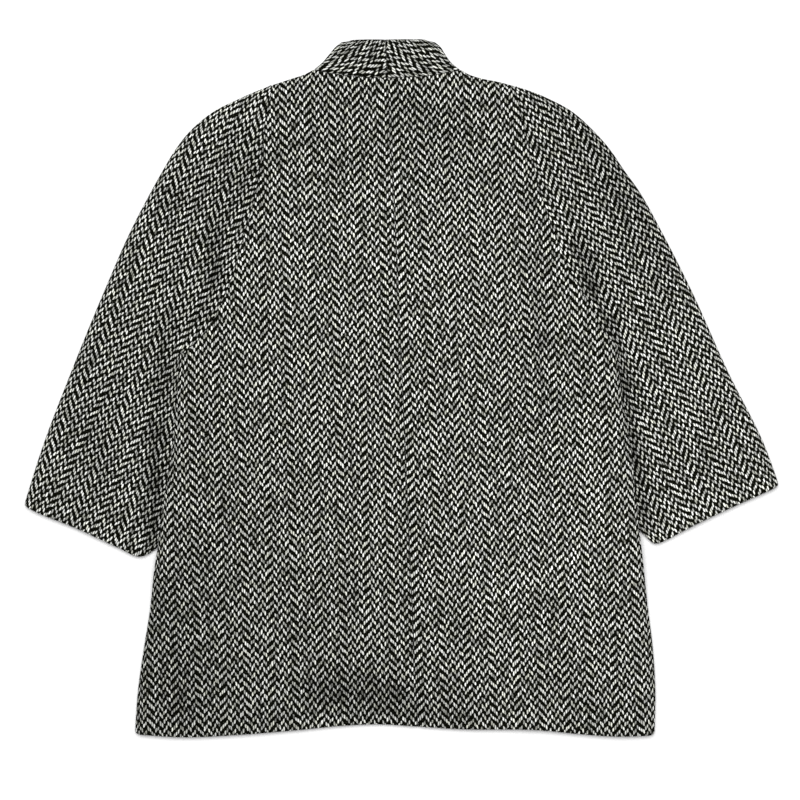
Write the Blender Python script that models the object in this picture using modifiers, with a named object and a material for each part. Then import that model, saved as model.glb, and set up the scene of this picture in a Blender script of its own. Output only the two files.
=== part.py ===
"""A tweed swing coat laid flat on its front: backs, fronts, four sleeve halves and two collar halves.

Each piece is an open sheet, cut in the flat from its outline and given a wall by Solidify.
Lengths are millimetres until the mesh is made.
X runs across the coat, Y from hem to collar, and Z is up from the table.
"""

import bmesh
import bpy
import numpy as np

NAME = "tweed_coat"
MM = 0.001

# Cloth and layers
WALL = 3.0
LAYER_GAP = 3.5
SEAM_GAP = 0.3
LOWER = WALL / 2
UPPER = LOWER + WALL + LAYER_GAP

# The upper cloth comes down onto the lower cloth beside a sewn outer edge
PINCH = LAYER_GAP - SEAM_GAP
PINCH_WIDTH = 18.0
EDGE_STATIONS = (0.0, 4.0, 9.0, 18.0)

# The sides of the body ride over the inner edges of the sleeves
LIFT = 2 * WALL + LAYER_GAP + 0.8
LIFT_START = 12.0
LIFT_RISE = 58.0
LIFT_FALL = 85.0
LIFT_BELOW_CUFF = 3.0
LIFT_FULL_WIDTH = 26.0
LIFT_WIDTH = 115.0
BODY_MIDDLE = np.array([-15.0, 100.0])

# Outer lines of each side, x and y, from the collar corner down
SIDES = {
    "left": {
        "collar_fold": ((-74, 433), (-83, 427), (-91, 417), (-99, 407), (-110, 397.5)),
        "shoulder": ((-110, 397.5), (-119, 392.5), (-138, 386), (-161, 378.5)),
        "overarm": ((-161, 378.5), (-180, 371.5), (-204, 361), (-234, 346), (-263, 322.5), (-283, 297.5),
                    (-298, 272.5), (-312, 247.5), (-338, 197.5), (-371, 122.5), (-412, 22.5), (-450, -77.5),
                    (-472, -146)),
        "armhole": ((-161, 378.5), (-170, 335), (-174, 297), (-181, 250), (-193, 202), (-206, 155),
                    (-221, 114), (-241, 76), (-254, 60), (-277, 41)),
        "side": ((-277, 41), (-279, 0), (-282, -42), (-287, -89), (-295, -135), (-302, -190), (-308, -227),
                 (-314, -277), (-322, -327), (-329, -377), (-333, -433)),
        "underarm": ((-277, 41), (-278.6, 18), (-280, -4), (-280.8, -17), (-278.5, -55), (-277, -95),
                     (-281, -134), (-291, -168), (-303, -197), (-317, -209)),
        "cuff": ((-317, -209), (-327, -209), (-377, -190), (-427, -169), (-472, -149)),
        "hem": ((20.6, -423), (-27, -420), (-77, -422.5), (-127, -428.5), (-202, -434), (-277, -437),
                (-333, -433)),
        "front_hem": ((34, -405), (-27, -404), (-127, -413), (-202, -422), (-277, -431), (-333, -433)),
        "neck": ((-17, 387.5), (-60, 389.5), (-90, 393.5), (-110, 397.5)),
        "collar_top": ((-20.6, 436), (-50, 436), (-74, 433)),
        "front_neck": ((-1.5, 291), (-38, 302), (-71, 325), (-95, 360), (-110, 397.5)),
        "front_collar_top": ((-3, 338), (-28, 343), (-50, 358), (-66, 388), (-74, 433)),
    },
    "right": {
        "collar_fold": ((40, 433), (47, 427), (54, 417), (61, 407), (74, 397.5)),
        "shoulder": ((74, 397.5), (82, 392.5), (98, 387), (120, 382.5), (141, 377)),
        "overarm": ((141, 377), (160, 371.5), (185, 361), (211, 347), (239, 322.5), (261, 297.5),
                    (278, 272.5), (296, 247.5), (324, 197.5), (362, 122.5), (407, 22.5), (456, -77.5),
                    (472, -121)),
        "armhole": ((141, 377), (149, 342), (159, 301), (169, 260), (183, 216), (194, 185), (214, 140),
                    (236, 102), (253, 70), (271, 51)),
        "side": ((271, 51), (273, 5), (280, -42), (287, -92), (292, -140), (297, -185), (302, -227),
                 (308, -277), (314, -327), (317, -377), (316, -434)),
        "underarm": ((271, 51), (272.4, 27), (273.8, 5), (275.2, -8), (275, -48), (276, -90), (281, -126),
                     (290, -158), (299, -181), (316, -196)),
        "cuff": ((316, -196), (326, -194), (348, -182), (398, -158), (448, -136), (472, -125)),
        "hem": ((20.6, -423), (73, -427), (173, -429.5), (223, -434), (273, -437), (316, -434)),
        "front_hem": ((34, -405), (73, -407), (173, -417), (223, -426), (273, -432), (316, -434)),
        "neck": ((-17, 387.5), (25, 389.5), (55, 393.5), (74, 397.5)),
        "collar_top": ((-20.6, 436), (15, 436), (40, 433)),
        "front_neck": ((-1.5, 291), (10, 296), (38, 322), (60, 358), (74, 397.5)),
        "front_collar_top": ((-3, 338), (5, 341), (20, 356), (32, 386), (40, 433)),
    },
}
CENTRE_BACK = ((-17, 387.5), (-4, 110), (7, -140), (15.6, -327), (20.6, -423))
COLLAR_CENTRE = ((-17, 387.5), (-20.6, 436))
CENTRE_FRONT = ((-1.5, 291), (12, 20), (34, -405))
COLLAR_FRONT = ((-1.5, 291), (-3, 338))
FRONT_EDGE_GAP = 3.0
COLLAR_FOLD = (UPPER - LOWER) / 2
COLLAR_INSIDE = np.array([-17.0, 415.0])
NECK_POINT_GAP = 3.4

# How finely each sheet is divided
BACK_NECK_COLUMNS = 6
FRONT_NECK_COLUMNS = 8
SHOULDER_COLUMNS = 3
SLEEVE_COLUMNS = 5
COLLAR_BEND_COLUMNS = 6
SEAM_ROWS = 9
BODY_ROWS = 14
SLEEVE_ROWS = 8
COLLAR_ROWS = 5

# Soft folds of the upper cloth: a line, the half width of the fold beside it and its height
FOLD_COLUMNS = ("x0", "y0", "x1", "y1", "half_width", "height")
FOLDS = (
    (-224, 204, -252, 82, 17, -2.3),
    (-188, 200, -222, 80, 18, 3.0),
    (228, 182, 262, 80, 17, -2.3),
    (192, 200, 232, 90, 16, 3.0),
    (173, 195, 176, -15, 22, -2.2),
    (-85, -388, 45, -380, 38, -2.2),
    (-110, 200, 60, 190, 90, 4.0),
    (-268, 268, -212, 285, 26, -1.6),
    (226, 272, 292, 222, 20, -1.6),
    (236, -40, 238, -270, 26, 2.6),
)
FOLD_DEEPEST = -2.5
FOLD_EDGE_START = 16.0
FOLD_EDGE_FULL = 42.0


def smooth(value, low, high):
    """Ease from 0 at low to 1 at high."""
    t = np.clip((value - low) / (high - low), 0.0, 1.0)
    return t * t * (3 - 2 * t)


def spline(points, step=2.0):
    """Dense smooth line through the points, each span bent by the slope of its neighbours."""
    knots = np.array(points, float)
    lengths = np.hypot(*np.diff(knots, axis=0).T)
    at = np.concatenate([[0], np.cumsum(lengths)])
    slopes = np.gradient(knots, at, axis=0)
    line = [knots[0]]
    for k, length in enumerate(lengths):
        start, end = knots[k], knots[k + 1]
        bend_in, bend_out = slopes[k] * length, slopes[k + 1] * length
        count = max(2, int(length / step))
        for t in np.arange(1, count + 1) / count:
            line.append((2 * t**3 - 3 * t**2 + 1) * start + (t**3 - 2 * t**2 + t) * bend_in
                        + (3 * t**2 - 2 * t**3) * end + (t**3 - t**2) * bend_out)
    return np.array(line)


def arc_length(line):
    """Distance along a line to each of its points."""
    return np.concatenate([[0], np.cumsum(np.hypot(*np.diff(line, axis=0).T))])


def walk(line, share):
    """The point at a share of a line's length."""
    at = arc_length(line)
    return np.array([np.interp(share * at[-1], at, line[:, axis]) for axis in (0, 1)])


def moved_in(line, inside, distance):
    """The line moved sideways by a distance, towards the inside point."""
    along = np.gradient(line, axis=0)
    across = np.stack([-along[:, 1], along[:, 0]], axis=1)
    across /= np.linalg.norm(across, axis=1)[:, None]
    middle = len(line) // 2
    turn = np.sign(across[middle] @ (np.array(inside) - line[middle]))
    return line + across * turn * distance


def joined(*lines):
    """Lines end to end as one."""
    return np.vstack([lines[0]] + [line[1:] for line in lines[1:]])


def fitted(line, start, end):
    """A line with its ends moved onto two points, the change fading away from each end."""
    share = (arc_length(line) / arc_length(line)[-1])[:, None]
    return line + (1 - share) ** 5 * (start - line[0]) + share ** 5 * (end - line[-1])


def trimmed(line, length):
    """A line with a short length cut off its start."""
    at = arc_length(line)
    return np.vstack([walk(line, length / at[-1]), line[at > length + 0.05]])


def clearance(line, point):
    """Distance from a point to a line."""
    starts, spans = line[:-1], np.diff(line, axis=0)
    t = np.clip(np.sum((point - starts) * spans, axis=1) / np.sum(spans * spans, axis=1), 0, 1)
    return np.hypot(*(starts + spans * t[:, None] - point).T).min()


def coons(patch, u, v):
    """Point of the patch inside its top, bottom, left and right edges."""
    top, bottom, left, right = patch
    edges = (1 - v) * walk(top, u) + v * walk(bottom, u) + (1 - u) * walk(left, v) + u * walk(right, v)
    corners = ((1 - u) * (1 - v) * top[0] + u * (1 - v) * top[-1]
               + (1 - u) * v * bottom[0] + u * v * bottom[-1])
    return edges - corners


def fold_height(point, clear):
    """Height of the soft folds at a point, fading out near the sewn outer edges."""
    height = 0.0
    for row in FOLDS:
        fold = dict(zip(FOLD_COLUMNS, row))
        start = np.array([fold["x0"], fold["y0"]], float)
        span = np.array([fold["x1"], fold["y1"]], float) - start
        t = np.clip((point - start) @ span / (span @ span), 0, 1)
        gap = np.linalg.norm(start + span * t - point)
        height += fold["height"] * np.exp(-(gap / fold["half_width"]) ** 2)
    return max(height, FOLD_DEEPEST) * smooth(clear, FOLD_EDGE_START, FOLD_EDGE_FULL)


class Side:
    """Lines of one side of the coat, and the height of its cloth."""

    def __init__(self, table, sign):
        self.lines = {key: spline(points) for key, points in table.items()}
        self.sign = sign
        self.body = BODY_MIDDLE
        self.arm = self.lines["overarm"].mean(axis=0)
        self.outer = joined(self.lines["shoulder"], self.lines["overarm"])
        self.top = self.lines["side"][0, 1]
        self.lift_end = self.lines["cuff"][0, 1] - LIFT_BELOW_CUFF

    def edge(self, seam, free, inside):
        """The armhole seam and the free line below it, moved back by half the seam gap."""
        return moved_in(joined(self.lines[seam], self.lines[free]), inside, SEAM_GAP / 2)

    def side_lift(self, point, clear):
        """Height of the body's side above the table, where it rides over the sleeve."""
        along = smooth(self.top - point[1], LIFT_START, LIFT_RISE)
        along *= smooth(point[1], self.lift_end - LIFT_FALL, self.lift_end)
        return LIFT * along * (1 - smooth(clear, LIFT_FULL_WIDTH, LIFT_WIDTH))

    def placed(self, point, layer, part):
        """A flat point at its height on the upper or lower layer."""
        clear = clearance(self.lines["side" if part == "body" else "underarm"], point)
        lift = self.side_lift(point, clear) if part == "body" else 0.0
        if layer == "lower":
            return (*point, LOWER + lift)
        clear = min(clear, clearance(self.outer, point))
        pinch = PINCH * (1 - smooth(clear, 0.0, PINCH_WIDTH))
        return (*point, UPPER - pinch + lift + fold_height(point, clear))


def body_patch(side, layer):
    """Flat edges of a back or front, and the share of its top edge that is the neck."""
    outer = side.edge("armhole", "side", side.body)
    if layer == "upper":
        centre, gap, neck, hem = spline(CENTRE_BACK), SEAM_GAP, side.lines["neck"], side.lines["hem"]
        inside = side.body
    else:
        centre, gap = spline(CENTRE_FRONT), FRONT_EDGE_GAP
        neck, hem = side.lines["front_neck"], side.lines["front_hem"]
        inside = side.lines["armhole"].mean(axis=0)
    centre = trimmed(centre + np.array([side.sign * gap / 2, 0.0]), SEAM_GAP / 2)
    shoulder = trimmed(side.lines["shoulder"], SEAM_GAP / 2)
    neck = fitted(moved_in(neck, inside, SEAM_GAP / 2), centre[0], shoulder[0])
    shoulder = fitted(shoulder, shoulder[0], outer[0])
    top = joined(neck, shoulder)
    bottom = fitted(hem, centre[-1], outer[-1])
    return (top, bottom, centre, outer), arc_length(neck)[-1] / arc_length(top)[-1]


def row_shares(line, seam_length, below):
    """Shares of an outer line: close below its top, even down the seam, then even below the underarm."""
    total = arc_length(line)[-1]
    seam = np.concatenate([EDGE_STATIONS, np.linspace(EDGE_STATIONS[-1], seam_length, SEAM_ROWS + 1)[1:]])
    rest = np.linspace(seam_length + LIFT_START, total, below + 1)
    return np.concatenate([seam, rest]) / total


def body_sheet(side, layer):
    """Rows of points of a back or front, from the top to the hem."""
    patch, neck_share = body_patch(side, layer)
    columns = BACK_NECK_COLUMNS if layer == "upper" else FRONT_NECK_COLUMNS
    rows = []
    for v in row_shares(patch[3], arc_length(side.lines["armhole"])[-1], BODY_ROWS):
        width = np.linalg.norm(coons(patch, 1, v) - coons(patch, 0, v))
        edge = 1 - np.array(EDGE_STATIONS[::-1]) / width
        neck = np.linspace(0, neck_share, columns + 1)
        between = np.linspace(neck_share, edge[0], SHOULDER_COLUMNS + 1)[1:-1]
        rows.append([side.placed(coons(patch, u, v), layer, "body") for u in (*neck, *between, *edge)])
    return rows


def sleeve_sheet(side, layer):
    """Rows of points of a sleeve half, from the shoulder point to the cuff."""
    inner = side.edge("armhole", "underarm", side.arm)
    overarm = side.lines["overarm"]
    outer = fitted(overarm, inner[0], overarm[-1])
    tip = inner[0] + np.array([[0.0, 0.0], [0.0, 1e-6]])
    patch = (tip, fitted(side.lines["cuff"], inner[-1], outer[-1]), inner, outer)
    rows = []
    for v in row_shares(inner, arc_length(side.lines["armhole"])[-1], SLEEVE_ROWS):
        width = max(np.linalg.norm(coons(patch, 1, v) - coons(patch, 0, v)), 0.01)
        edge = np.array(EDGE_STATIONS) / max(width, 5 * EDGE_STATIONS[-1])
        between = np.linspace(edge[-1], 1 - edge[-1], SLEEVE_COLUMNS + 1)[1:-1]
        shares = (*edge, *between, *(1 - edge[::-1]))
        rows.append([side.placed(coons(patch, u, v), layer, "sleeve") for u in shares])
    return rows


def collar_half(side, middle, low, high, fold):
    """Flat edges of the back or front of a collar half, and the way its rows leave the fold."""
    low_line = moved_in(side.lines[low], COLLAR_INSIDE, SEAM_GAP / 2)
    high_line = side.lines[high]
    leave_low, leave_high = low_line[-4] - low_line[-1], high_line[-4] - high_line[-1]
    leave_low /= np.linalg.norm(leave_low)
    leave_high /= np.linalg.norm(leave_high)
    share = (arc_length(fold) / arc_length(fold)[-1])[:, None]
    leave = (1 - share) * leave_low + share * leave_high
    inward = moved_in(fold, COLLAR_INSIDE, 1.0) - fold
    leave /= np.sum(leave * inward, axis=1)[:, None]
    bend = fold + inward * WALL / 2 + leave * COLLAR_FOLD
    patch = (fitted(low_line, middle[0], bend[0]), fitted(high_line, middle[-1], bend[-1]), middle, bend)
    return patch, leave


def collar_sheet(side):
    """Rows of points of a collar half, from the neck seam up, each from centre back round to the front."""
    fold = trimmed(side.lines["collar_fold"][::-1], NECK_POINT_GAP)
    crest = moved_in(fold, COLLAR_INSIDE, WALL / 2)
    back = trimmed(spline(COLLAR_CENTRE) + np.array([side.sign * SEAM_GAP / 2, 0.0]), SEAM_GAP / 2)
    front = trimmed(spline(COLLAR_FRONT) + np.array([side.sign * FRONT_EDGE_GAP / 2, 0.0]), SEAM_GAP / 2)
    upper, upper_leave = collar_half(side, back, "neck", "collar_top", fold)
    lower, lower_leave = collar_half(side, front, "front_neck", "front_collar_top", fold)
    rows = []
    for v in np.linspace(0, 1, COLLAR_ROWS + 1):
        row = [(*coons(upper, u, v), UPPER) for u in np.linspace(0, 1, BACK_NECK_COLUMNS + 1)]
        for angle in np.linspace(0, np.pi, COLLAR_BEND_COLUMNS + 1)[1:-1]:
            leave = walk(upper_leave if angle < np.pi / 2 else lower_leave, v)
            plan = walk(crest, v) + leave * COLLAR_FOLD * (1 - np.sin(angle))
            row.append((*plan, (UPPER + LOWER) / 2 + COLLAR_FOLD * np.cos(angle)))
        row += [(*coons(lower, u, v), LOWER) for u in np.linspace(1, 0, FRONT_NECK_COLUMNS + 1)]
        rows.append(row)
    return rows


def make_piece(name, rows, collection, material):
    """A walled sheet through rows of points."""
    points = np.array(rows) * MM
    row_count, column_count = points.shape[:2]
    mesh = bmesh.new()
    bmesh.ops.create_grid(mesh, x_segments=column_count - 1, y_segments=row_count - 1, size=0.5)
    for vertex in mesh.verts:
        column = round((vertex.co.x + 0.5) * (column_count - 1))
        row = round((vertex.co.y + 0.5) * (row_count - 1))
        vertex.co = points[row, column]
    bmesh.ops.remove_doubles(mesh, verts=mesh.verts, dist=0.01 * MM)
    data = bpy.data.meshes.new(name)
    mesh.to_mesh(data)
    mesh.free()
    piece = bpy.data.objects.new(name, data)
    collection.objects.link(piece)
    data.materials.append(material)
    wall = piece.modifiers.new("wall", "SOLIDIFY")
    wall.thickness = WALL * MM
    wall.offset = 0.0
    wall.use_even_offset = True
    return piece


def main():
    for item in list(bpy.data.objects):
        bpy.data.objects.remove(item, do_unlink=True)
    collection = bpy.data.collections.new(NAME)
    bpy.context.scene.collection.children.link(collection)
    tweed = bpy.data.materials.new("tweed")
    tweed.use_nodes = True
    shader = tweed.node_tree.nodes["Principled BSDF"]
    shader.inputs["Base Color"].default_value = (0.16, 0.155, 0.145, 1.0)
    shader.inputs["Roughness"].default_value = 0.95
    for hand, sign in (("left", -1), ("right", 1)):
        side = Side(SIDES[hand], sign)
        make_piece(f"back_{hand}", body_sheet(side, "upper"), collection, tweed)
        make_piece(f"front_{hand}", body_sheet(side, "lower"), collection, tweed)
        make_piece(f"sleeve_{hand}_back", sleeve_sheet(side, "upper"), collection, tweed)
        make_piece(f"sleeve_{hand}_front", sleeve_sheet(side, "lower"), collection, tweed)
        make_piece(f"collar_{hand}", collar_sheet(side), collection, tweed)


main()
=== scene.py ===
"""Looks of the tweed coat: fine cloth shells, a woven herringbone, floor, light and camera."""
import math

import bpy
import numpy as np
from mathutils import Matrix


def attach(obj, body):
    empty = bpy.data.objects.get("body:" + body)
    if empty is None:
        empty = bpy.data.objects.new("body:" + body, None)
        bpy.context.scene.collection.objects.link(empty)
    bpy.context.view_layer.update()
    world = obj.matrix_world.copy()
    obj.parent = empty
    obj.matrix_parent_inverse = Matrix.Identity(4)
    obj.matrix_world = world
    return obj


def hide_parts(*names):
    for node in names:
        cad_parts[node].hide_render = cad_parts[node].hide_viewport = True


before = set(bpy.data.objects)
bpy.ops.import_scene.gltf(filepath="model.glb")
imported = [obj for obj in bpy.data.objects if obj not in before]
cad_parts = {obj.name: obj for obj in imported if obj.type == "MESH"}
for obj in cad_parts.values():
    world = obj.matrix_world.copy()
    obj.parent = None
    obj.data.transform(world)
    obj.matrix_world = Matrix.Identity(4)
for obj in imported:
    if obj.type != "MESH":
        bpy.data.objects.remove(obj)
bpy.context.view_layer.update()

MM = 0.001

# Cloth and layers, in millimetres as in the part's source
WALL = 3.0
LAYER_GAP = 3.5
SEAM_GAP = 0.3
LOWER = WALL / 2
UPPER = LOWER + WALL + LAYER_GAP
LIFT_CLEARANCE = 0.8
LIFT = 2 * WALL + LAYER_GAP + LIFT_CLEARANCE
LIFT_START = 12.0
LIFT_RISE = 58.0
LIFT_FALL = 85.0
LIFT_FULL_WIDTH = 26.0
LIFT_WIDTH = 115.0
LIFT_END_DROP = 3.0
FRONT_EDGE_GAP = 3.0
COLLAR_FOLD = (UPPER - LOWER) / 2
COLLAR_FOLD_CELLS = 12
COLLAR_INSIDE = np.array([-17.0, 415.0])
BODY_INSIDE = np.array([-15.0, 100.0])
NECK_POINT_GAP = 1.2

# The upper cloth rolls down round the edge of the lower cloth at the outer seams
ROLL_WIDTH = 13.0
ROLL_DROP = 4.7
ROLL_SOFT = 0.5
ROLL_SAMPLES = 400
ROLL_GRAIN = 4.5
LOWER_INSET = 2.2
LOWER_INSET_WIDTH = 20.0
CORNER_ROUND = 5.2

# Rounded lips of the cloth's edges: at a seam, at a sewn outer edge and at a turned hem or cuff,
# where their points lie, and how many times their width a row of cloth needs for whole lips
SEAM_LIP = 0.9
OUTER_LIP = 2.2
HEM_LIP = 1.1
NO_LIP = 1e-3
LIP_STATIONS = np.array([0.0, 0.08, 0.3, 0.62, 1.0])
LIP_CELLS = len(LIP_STATIONS) - 1
LIP_ROOM = 4

# Seams dip, and the hem, the cuffs and the sleeves' inner edges sink towards the table
SEAM_DIP = 1.3
SEAM_DIP_WIDTH = 3.8
HEM_DROP = 1.2
HEM_DROP_WIDTH = 7.0
HEM_DROOP = 2.2
HEM_DROOP_AT = -15.0
HEM_DROOP_REACH = 120.0
HEM_DROOP_WIDTH = 50.0
TUCK = 2.4
TUCK_WIDTH = 30.0

# Mesh: the size of its cells, the fewest in a row, and the lengths and steps used to lay it out
UPPER_STEP = 4.0
LOWER_STEP = 9.0
COLLAR_STEP = 2.5
LEAST_CELLS = 4
SLEEVE_TIP = 1.5
TIP_WIDTH = 1e-6
LINE_STEP = 2.0
LEAST_STEP = 0.05
END_SPAN = 3
FADE_POWER = 5
PROBE = 2
TINY = 1e-9
BAKE_MARGIN = 0.01

# Outer lines of each side, x and y, from the collar corner down
SIDES = {
    "left": {
        "collar_fold": ((-74, 433), (-82, 427), (-90.5, 417), (-99, 407), (-110, 397.5)),
        "shoulder": ((-110, 397.5), (-119, 392.5), (-138, 386), (-161, 378.5)),
        "overarm": ((-161, 378.5), (-180, 371.5), (-204, 361), (-234, 346), (-263, 322.5), (-283, 297.5),
                    (-298, 272.5), (-312, 247.5), (-338, 197.5), (-371, 122.5), (-412, 22.5), (-450, -77.5),
                    (-472, -147)),
        "armhole": ((-161, 378.5), (-170, 335), (-174, 297), (-181, 250), (-193, 202), (-206, 155),
                    (-221, 114), (-241, 76), (-254, 60), (-277, 41)),
        "side": ((-277, 41), (-279, 0), (-282, -42), (-287, -89), (-295, -135), (-302, -190), (-308, -227),
                 (-314, -277), (-322, -327), (-329, -377), (-333, -432.5)),
        "underarm": ((-277, 41), (-278.6, 18), (-280, -4), (-280.8, -17), (-278.5, -55), (-277, -95),
                     (-281, -134), (-291, -168), (-303, -196), (-316, -207)),
        "cuff": ((-316, -207), (-327, -210.5), (-352, -200.3), (-377, -188.8), (-402, -177.3),
                 (-427, -167.5), (-452, -158.5), (-472, -150)),
        "hem": ((20.6, -423.2), (-27, -420.3), (-77, -422.3), (-127, -427.1), (-202, -433.1), (-277, -436.2),
                (-333, -432.5)),
        "front_hem": ((34, -405), (-27, -404), (-127, -413), (-202, -422), (-277, -430), (-333, -432.5)),
        "neck": ((-17, 387.5), (-60, 389.5), (-90, 393.5), (-110, 397.5)),
        "collar_top": ((-20.6, 435.4), (-50, 435.3), (-64, 434.6), (-74, 433)),
        "front_neck": ((-1.5, 291), (-38, 302), (-71, 325), (-95, 360), (-110, 397.5)),
        "front_collar_top": ((-3, 338), (-28, 343), (-50, 358), (-66, 388), (-74, 433)),
    },
    "right": {
        "collar_fold": ((41, 433), (48.3, 427), (54.7, 417), (62, 407), (74, 397.5)),
        "shoulder": ((74, 397.5), (82, 392.5), (98, 387), (120, 382.5), (141, 377)),
        "overarm": ((141, 377), (160, 371.5), (185, 361), (211, 347), (239, 322.5), (261, 297.5),
                    (278, 272.5), (296, 247.5), (324, 197.5), (362, 122.5), (407, 22.5), (456, -77.5),
                    (472, -122)),
        "armhole": ((141, 377), (149, 342), (159, 301), (169, 260), (183, 216), (194, 185), (214, 140),
                    (236, 102), (253, 70), (271, 51)),
        "side": ((271, 51), (273, 5), (280, -42), (287, -92), (292, -140), (297, -185), (302, -227),
                 (308, -277), (314, -327), (317, -377), (316, -433.9)),
        "underarm": ((271, 51), (272.4, 27), (273.8, 5), (275.2, -8), (275, -48), (276, -90), (281, -126),
                     (288, -152), (296, -174), (316, -195.5)),
        "cuff": ((316, -195.5), (326, -192.3), (348, -180.7), (398, -156), (448, -134.8), (472, -125.5)),
        "hem": ((20.6, -423.2), (73, -426.2), (173, -427.5), (223, -432.3), (273, -435.5), (316, -433.9)),
        "front_hem": ((34, -405), (73, -407), (173, -417), (223, -425), (273, -431), (316, -433.9)),
        "neck": ((-17, 387.5), (25, 389.5), (55, 393.5), (74, 397.5)),
        "collar_top": ((-20.6, 435.4), (15, 435.6), (32, 435), (41, 433)),
        "front_neck": ((-1.5, 291), (10, 296), (38, 322), (60, 358), (74, 397.5)),
        "front_collar_top": ((-3, 338), (5, 341), (20, 356), (32, 386), (41, 433)),
    },
}
CENTRE_BACK = ((-17, 387.5), (-4, 110), (7, -140), (15.6, -327), (20.6, -423.2))
COLLAR_CENTRE = ((-17, 387.5), (-20.6, 435.4))
CENTRE_FRONT = ((-1.5, 291), (12, 20), (34, -405))
COLLAR_FRONT = ((-1.5, 291), (-3, 338))

# Soft folds of the upper cloth, and patches of painted light and shade without a fold: the parts they cross,
# a line, the half width beside it, the height there, and the painted shading, how much lighter or darker the
# colour is painted
FOLD_COLUMNS = ("part", "x0", "y0", "x1", "y1", "half_width", "height", "painted_shading")
FOLDS = (
    ("any", -231, 200, -233, 140, 13, -2.6, -0.42),
    ("any", -235, 135, -250, 82, 13, -2.4, -0.30),
    ("any", -188, 200, -222, 80, 18, 3.0, 0.04),
    ("any", 219, 178, 240, 128, 12, -2.6, -0.48),
    ("any", 240, 125, 262, 75, 10, -2.4, -0.36),
    ("any", 192, 200, 232, 90, 16, 3.0, 0.04),
    ("body", 172, 165, 172, 60, 14, -2.5, -0.22),
    ("body", 173, 55, 178, -25, 10, -2.2, -0.24),
    ("body", -102, -375, -10, -380, 20, -2.2, -0.42),
    ("body", -90, -395, 15, -402, 16, -1.0, -0.22),
    ("body", 30, -402, 70, -408, 14, -0.5, -0.30),
    ("body", -196, -413, -146, -412, 14, -0.5, -0.22),
    ("body", -315, -260, -262, -385, 48, -0.6, -0.20),
    ("body", -325, -400, -262, -405, 22, -0.6, -0.16),
    ("any", -420, -150, -300, 250, 190, 0.0, -0.07),
    ("body", -320, -330, -150, -300, 150, 0.0, -0.08),
    ("body", -100, 185, 45, 150, 90, 4.0, 0.06),
    ("any", -90, 330, 150, 322, 75, 0.0, -0.12),
    ("any", 120, -250, 280, -190, 150, 0.0, 0.09),
    ("any", 185, 365, 305, 240, 19, 0.0, -0.18),
    ("any", -225, 352, -330, 215, 13, 0.0, 0.12),
    ("sleeve", 340, -60, 440, -110, 60, 0.0, 0.05),
    ("any", -290, 245, -196, 262, 34, -1.2, -0.17),
    ("any", -205, 330, -190, 235, 24, -0.8, -0.10),
    ("any", 228, 278, 292, 228, 30, -1.6, -0.26),
    ("sleeve", 278, 200, 325, 150, 20, -1.0, -0.18),
    ("any", -214, 362, -145, 345, 24, 0.0, 0.05),
    ("any", 150, 320, 208, 287, 28, 0.6, 0.06),
    ("body", 230, -27, 246, -170, 10, 2.6, 0.24),
    ("body", 226, -180, 250, -330, 22, 1.2, 0.08),
    ("body", 98, -274, 220, -210, 6, 1.8, 0.36),
    ("body", -150, -20, -160, -190, 14, -0.9, -0.06),
    ("body", -60, -60, -75, -250, 18, -0.7, -0.03),
    ("body", -55, -260, -80, -330, 8, -0.8, -0.12),
    ("body", 70, -295, 90, -315, 18, -0.6, -0.14),
    ("body", 85, 40, 95, -120, 16, 0.8, 0.03),
    ("body", 15, 345, 55, 315, 28, -0.4, -0.12),
    ("body", -100, 300, -80, 280, 18, -0.4, -0.10),
    ("body", 150, -330, 160, -425, 22, 1.0, 0.03),
    ("body", -255, 30, -240, -240, 40, 0.0, -0.08),
    ("sleeve", -292, 80, -303, -50, 16, -1.8, -0.32),
    ("sleeve", -305, -55, -308, -120, 13, -2.2, -0.42),
    ("sleeve", -308, -125, -310, -192, 12, -2.4, -0.52),
    ("sleeve", 266, 62, 280, 5, 10, -2.0, -0.44),
    ("sleeve", 281, 0, 292, -75, 10, -2.0, -0.36),
    ("sleeve", 293, -80, 305, -172, 9, -2.2, -0.46),
    ("sleeve", -389, 40, -383, -10, 18, -1.0, -0.16),
    ("sleeve", -392, -55, -372, -95, 20, -1.2, -0.20),
    ("sleeve", -370, -60, -405, -150, 15, -1.2, -0.04),
    ("sleeve", -320, 60, -350, -60, 20, 0.9, 0.03),
    ("sleeve", 380, -40, 420, -130, 17, -1.2, -0.06),
    ("sleeve", 330, 60, 362, -40, 26, 0.9, 0.09),
    ("sleeve", 335, -180, 460, -125, 24, 0.0, 0.10),
    ("body", -340, -430, 340, -430, 260, 0.0, -0.07),
)
FOLD_DEEPEST = -2.6
FOLD_EDGE_START = 16.0
FOLD_EDGE_FULL = 42.0
# Painted shade along the sewn outer edges, and how far in from them it reaches
EDGE_PAINTED_SHADE = -0.16
EDGE_PAINTED_SHADE_WIDTH = 2.2
# Painted shade along the hem and the cuffs, and how far in from them it reaches
HEM_PAINTED_SHADE = -0.06
HEM_PAINTED_SHADE_WIDTH = 3.2
# Painted shade over all the collar, and more along its top edge, where it faces the light
COLLAR_PAINTED_SHADE = -0.12
COLLAR_EDGE_PAINTED_SHADE = -0.55
COLLAR_EDGE_PAINTED_SHADE_WIDTH = 1.6
# Least share of the colour that the painted light and shade leave
PAINTED_SHADING_LEAST = 0.4

# Lengthwise grain of each part: its lean from the coat's length, in degrees, and where its repeat starts
GRAIN_COLUMNS = ("lean", "across", "along")
GRAIN = {
    "body_left": (1.3, 22.0, 35.0),
    "body_right": (2.45, 26.8, 105.0),
    "sleeve_left": (-25.0, 3.4, 53.0),
    "sleeve_right": (26.0, 55.9, 159.0),
    "collar_left": (-46.0, 54.0, 66.0),
    "collar_right": (47.0, 60.3, 200.0),
}


def smooth(value, low, high):
    """Ease from 0 at low to 1 at high."""
    t = np.clip((value - low) / (high - low), 0.0, 1.0)
    return t * t * (3 - 2 * t)


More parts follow.
